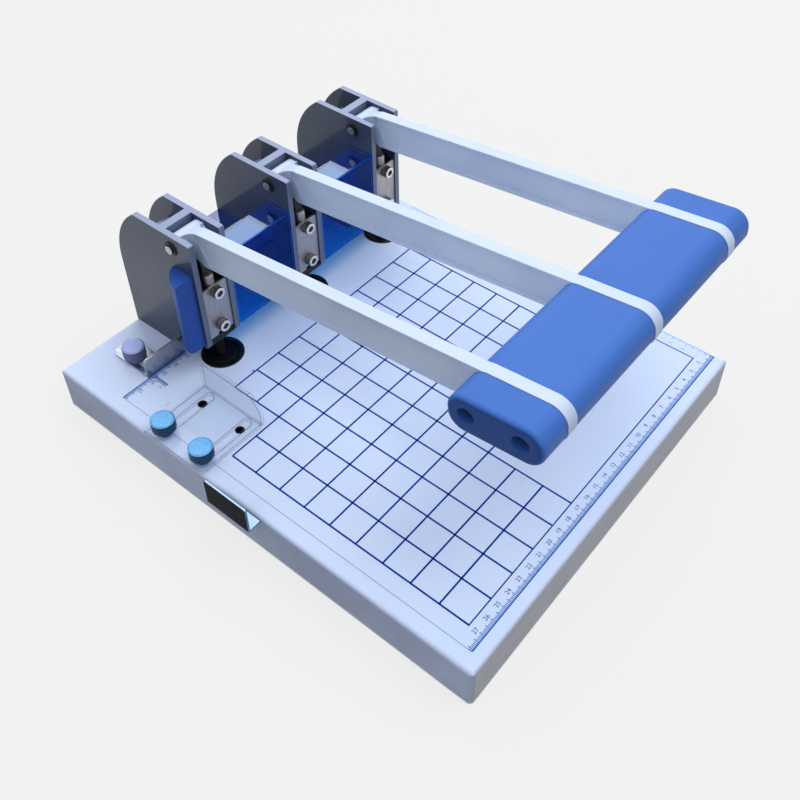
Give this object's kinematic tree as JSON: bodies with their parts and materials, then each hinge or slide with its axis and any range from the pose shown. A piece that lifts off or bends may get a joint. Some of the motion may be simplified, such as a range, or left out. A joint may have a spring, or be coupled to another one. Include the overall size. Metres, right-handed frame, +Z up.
{
  "type": "three-hole paper punch",
  "caption": "Desk paper punch for binding: levers on one handle press hollow punches through a stack on a gridded steel base, with adjustable paper stops and clear blue guards",
  "frame": {"origin": "centre of the object's box, on the surface it stands on", "axes": "+Z up; the handle points to -Y, the heads stand towards +Y; +X runs from the first punch to the third"},
  "size_m": [0.295, 0.34, 0.1666],
  "materials": {
    "deck_paint": "smooth white powder coat with a printed blue grid and rulers",
    "sheet_steel": "zinc-plated sheet",
    "rubber": "matte black",
    "screw_steel": "bright zinc",
    "bracket_grey": "satin grey anodised plate",
    "black_oxide": "black oxide",
    "pad_black": "black plastic, fine turned rings",
    "cup_steel": "blackened turned steel",
    "cover_steel": "ground steel",
    "spring_steel": "bright spring wire",
    "lever_white": "white powder coat",
    "handle_blue": "moulded blue plastic, fine satin grain",
    "guard_solid_blue": "moulded blue plastic",
    "guard_clear_blue": "clear blue acrylic",
    "acrylic": "clear acrylic, polished edges",
    "knob_metal": "blue-tinted bright plated, knurled",
    "stop_steel": "polished stainless sheet"
  },
  "bodies": {
    "base": {"base_shell": "deck_paint", "floor_plate": "sheet_steel", "corner_posts": "sheet_steel", "feet": "rubber", "floor_screws": "screw_steel", "stiffener": "sheet_steel", "bracket_bolts": "screw_steel", "bracket_1": "bracket_grey", "bracket_2": "bracket_grey", "bracket_3": "bracket_grey", "stripper_1": "black_oxide", "stripper_2": "black_oxide", "stripper_3": "black_oxide", "pad_cups": "cup_steel", "pads": "pad_black", "pivot_pins": "screw_steel", "e_clips": "black_oxide", "spring_1": "spring_steel", "spring_2": "spring_steel", "spring_3": "spring_steel", "side_guard": "guard_solid_blue", "mid_guard_1": "guard_clear_blue", "mid_guard_2": "guard_clear_blue", "rivet_nuts": "black_oxide", "stop_rails": "sheet_steel"},
    "levers": {"lever_1": "lever_white", "lever_2": "lever_white", "lever_3": "lever_white", "cam_1": "black_oxide", "cam_2": "black_oxide", "cam_3": "black_oxide", "cap_left": "handle_blue", "grip_1": "handle_blue", "grip_2": "handle_blue", "cap_right": "handle_blue", "tie_rods": "screw_steel", "tie_nuts": "black_oxide"},
    "ram_slide_1": {"slide_1": "black_oxide", "cover_1": "cover_steel", "clamp_screws_1": "screw_steel", "ram_1": "cover_steel", "punch_1": "black_oxide"},
    "ram_slide_2": {"slide_2": "black_oxide", "cover_2": "cover_steel", "clamp_screws_2": "screw_steel", "ram_2": "cover_steel", "punch_2": "black_oxide"},
    "ram_slide_3": {"slide_3": "black_oxide", "cover_3": "cover_steel", "clamp_screws_3": "screw_steel", "ram_3": "cover_steel", "punch_3": "black_oxide"},
    "side_guide": {"acrylic_guide": "acrylic"},
    "knob_front": {"guide_knob_1": "knob_metal"},
    "knob_back": {"guide_knob_2": "knob_metal"},
    "rear_l_stop": {"rear_stop": "stop_steel"},
    "rear_stop_knob": {"rear_knob": "stop_steel"},
    "side_pull_stop": {"side_stop": "stop_steel"}
  },
  "joints": [
    {"name": "lever_swing", "type": "hinge", "parent": "base", "child": "levers", "pos_m": [0.0235, 0.111, 0.1285], "axis": [-1, 0, 0], "range_deg": [0, 65]},
    {"name": "ram_lift_1", "type": "slide", "parent": "base", "child": "ram_slide_1", "axis": [0, 0, 1], "range_m": [0, 0.0127], "deforming": ["spring_1"]},
    {"name": "ram_lift_2", "type": "slide", "parent": "base", "child": "ram_slide_2", "axis": [0, 0, 1], "range_m": [0, 0.0127], "deforming": ["spring_2"]},
    {"name": "ram_lift_3", "type": "slide", "parent": "base", "child": "ram_slide_3", "axis": [0, 0, 1], "range_m": [0, 0.0127], "deforming": ["spring_3"]},
    {"name": "guide_shift", "type": "slide", "parent": "base", "child": "side_guide", "axis": [1, 0, 0], "range_m": [-0.032, 0.0008]},
    {"name": "knob_front_turn", "type": "hinge", "parent": "base", "child": "knob_front", "pos_m": [-0.13, 0.0404, 0.04], "axis": [0, 0, 1], "range_deg": [0, 360]},
    {"name": "knob_back_turn", "type": "hinge", "parent": "base", "child": "knob_back", "pos_m": [-0.13, 0.0746, 0.04], "axis": [0, 0, 1], "range_deg": [0, 360]},
    {"name": "rear_stop_shift", "type": "slide", "parent": "base", "child": "rear_l_stop", "axis": [0, 1, 0], "range_m": [-0.008, 0.001]},
    {"name": "rear_knob_turn", "type": "hinge", "parent": "base", "child": "rear_stop_knob", "pos_m": [-0.1, 0.139, 0.04], "axis": [0, 0, 1], "range_deg": [0, 360]},
    {"name": "side_stop_pull", "type": "slide", "parent": "base", "child": "side_pull_stop", "axis": [-1, 0, 0], "range_m": [0, 0.06]}
  ],
  "couplings": [
    {"joint": "ram_lift_1", "follows": "lever_swing", "m_per_rad": 0.011},
    {"joint": "ram_lift_2", "follows": "lever_swing", "m_per_rad": 0.011},
    {"joint": "ram_lift_3", "follows": "lever_swing", "m_per_rad": 0.011}
  ]
}
